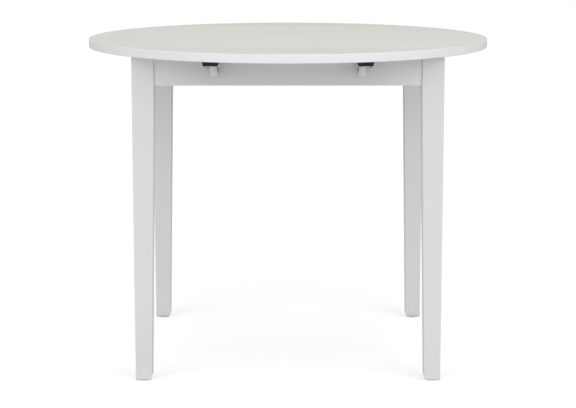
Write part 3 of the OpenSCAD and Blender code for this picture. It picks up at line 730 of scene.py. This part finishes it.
def bolt_section(length):
    """The bolt's section as (distance along, radius) from its free end to its end in the leg."""
    core = BOLT_R - THREAD_DEPTH
    section = [(0, 0), (0, core)]
    for turn in range(int((length - BOLT_BITE) / PITCH)):
        start = turn * PITCH
        section += [(start + share * PITCH, BOLT_R) for share in (CREST_START, CREST_END)]
        section.append((start + PITCH, core))
    section += [(length - BOLT_BITE, BOLT_R), (length - BOLT_R, BOLT_R)]
    section += [(length, BOLT_R / 2), (length, 0)]
    return section


def bolt_piece():
    """All four bolts, each spun round its own axis."""
    bm = bmesh.new()
    found = solids_in("hanger_bolts")
    for points in found:
        middle = sum(points, Vector()) / len(points)
        along = Vector((math.copysign(1, middle.x), math.copysign(1, middle.y), 0)).normalized()
        spans = [(p - middle).dot(along) for p in points]
        length = max(spans) - min(spans)
        turn = along.to_track_quat("X", "Z").to_matrix().to_4x4()
        place = Matrix.Translation(middle + along * min(spans)) @ turn
        verts = [bm.verts.new(place @ Vector((x, 0, r))) for x, r in bolt_section(length)]
        edges = [bm.edges.new(pair) for pair in zip(verts, verts[1:])]
        bmesh.ops.spin(bm, geom=verts + edges, cent=place.translation, axis=along, angle=2 * math.pi,
                       steps=BOLT_STEPS, use_merge=True)
    print(len(found), "bolts of", round(length / MM, 1), "mm")
    return make_piece("hanger_bolts_threaded", bm, ["hanger_bolts"], smooth_angle=25)


bolt_piece()

# %% [markdown]
# ## Finish on what is left
# The boards and the dowels keep their CAD meshes and take their finish. The hidden CAD nodes get
# theirs too, so that no node is left bare.

# %% Materials for the remaining CAD nodes
for name, node in nodes.items():
    leaf = name in ("front_leaf", "rear_leaf")
    node.data.materials.clear()
    node.data.materials.append(LEAF_WHITE if leaf else FINISH[slot_of_node[name]])
print("finished", len(nodes), "nodes")

# %% [markdown]
# ## Stage
# A studio with a pale floor and broad soft lights. The floor is a large plane with a little glow of its
# own, weaker near the table so that a soft shadow shows. The glow is only for the eye: it adds no
# light to the table. The world is as white as the floor to the eye, and gives the table only an even
# fill. Two big panels in front light the faces, and one above lights the top less strongly.

# %% Floor
FLOOR_SIZE = 80.0
FLOOR_TONE = 0.75
GLOW_NEAR, GLOW_FAR = 0.45, 0.63
GLOW_START, GLOW_END = 0.6, 5.0


def floor_finish():
    """Matt white with a glow that only the camera sees, growing away from the table."""
    material = bpy.data.materials.new("studio_white")
    material.use_nodes = True
    tree = material.node_tree
    shader = tree.nodes["Principled BSDF"]
    shader.inputs["Base Color"].default_value = (FLOOR_TONE, FLOOR_TONE, FLOOR_TONE, 1)
    shader.inputs["Roughness"].default_value = 0.9
    shader.inputs["Specular IOR Level"].default_value = 0.1
    shader.inputs["Emission Color"].default_value = (1, 1, 1, 1)
    place = add_node(tree, "TexCoord")
    away = add_node(tree, "VectorMath", operation="LENGTH")
    fade = add_node(tree, "MapRange", interpolation_type="SMOOTHSTEP", values={
        "From Min": GLOW_START, "From Max": GLOW_END, "To Min": GLOW_NEAR, "To Max": GLOW_FAR})
    looked_at = add_node(tree, "LightPath")
    glow = add_node(tree, "Math", operation="MULTIPLY")
    tree.links.new(place.outputs["Object"], away.inputs[0])
    tree.links.new(away.outputs["Value"], fade.inputs["Value"])
    tree.links.new(fade.outputs["Result"], glow.inputs[0])
    tree.links.new(looked_at.outputs["Is Camera Ray"], glow.inputs[1])
    tree.links.new(glow.outputs["Value"], shader.inputs["Emission Strength"])
    return material


floor_bm = bmesh.new()
bmesh.ops.create_grid(floor_bm, x_segments=1, y_segments=1, size=FLOOR_SIZE / 2)
floor_mesh = bpy.data.meshes.new("studio_floor")
floor_bm.to_mesh(floor_mesh)
floor_bm.free()
floor_mesh.materials.append(floor_finish())
floor = bpy.data.objects.new("studio_floor", floor_mesh)
bpy.context.scene.collection.objects.link(floor)
print("floor", FLOOR_SIZE, "m wide")

# %% World
FILL = 0.5
world = bpy.data.worlds.new("studio")
world.use_nodes = True
sky_tree = world.node_tree
sky = sky_tree.nodes["Background"]
sky.inputs["Color"].default_value = (1, 1, 1, 1)
looked_at = add_node(sky_tree, "LightPath")
brightness = add_node(sky_tree, "MapRange", values={"To Min": FILL, "To Max": 1.0})
sky_tree.links.new(looked_at.outputs["Is Camera Ray"], brightness.inputs["Value"])
sky_tree.links.new(brightness.outputs["Result"], sky.inputs["Strength"])
bpy.context.scene.world = world
print("world fill", FILL)

# %% Lights
AIM = (0, 0, 0.45)


def panel(name, place, width, height, watts):
    """A rectangular softbox at place, facing the middle of the table."""
    light = bpy.data.lights.new(name, "AREA")
    light.shape = "RECTANGLE"
    light.size, light.size_y = width, height
    light.energy = watts
    lamp = bpy.data.objects.new(name, light)
    lamp.location = place
    lamp.rotation_euler = (Vector(AIM) - Vector(place)).to_track_quat("-Z", "Y").to_euler()
    bpy.context.scene.collection.objects.link(lamp)
    print(name, watts, "W")


panel("front_left_panel", (-3.0, -3.3, 2.9), 4.2, 3.2, 72)
panel("front_right_panel", (3.0, -3.3, 2.9), 4.2, 3.2, 84)
panel("overhead_panel", (0, 0.5, 3.4), 3.0, 3.0, 17)

# %% [markdown]
# ## Camera
# The table is seen straight from the front, from a little above its top, through a long lens. A small
# vertical shift keeps the legs close to parallel.

# %% Camera
CAMERA_DISTANCE, CAMERA_HEIGHT = 3.585, 1.021
CAMERA_TILT = math.radians(8.6)
LENS, SENSOR, SHIFT = 96.95, 36, -0.1
camera_data = bpy.data.cameras.new("camera")
camera_data.sensor_width = SENSOR
camera_data.lens = LENS
camera_data.shift_y = SHIFT
camera_data.dof.use_dof = False
camera = bpy.data.objects.new("camera", camera_data)
camera.location = (0, -CAMERA_DISTANCE, CAMERA_HEIGHT)
camera.rotation_euler = (math.pi / 2 - CAMERA_TILT, 0, 0)
bpy.context.scene.collection.objects.link(camera)
bpy.context.scene.camera = camera
bpy.context.scene.view_settings.view_transform = "Standard"
print(f"camera {CAMERA_DISTANCE} m in front, {CAMERA_HEIGHT} m high")
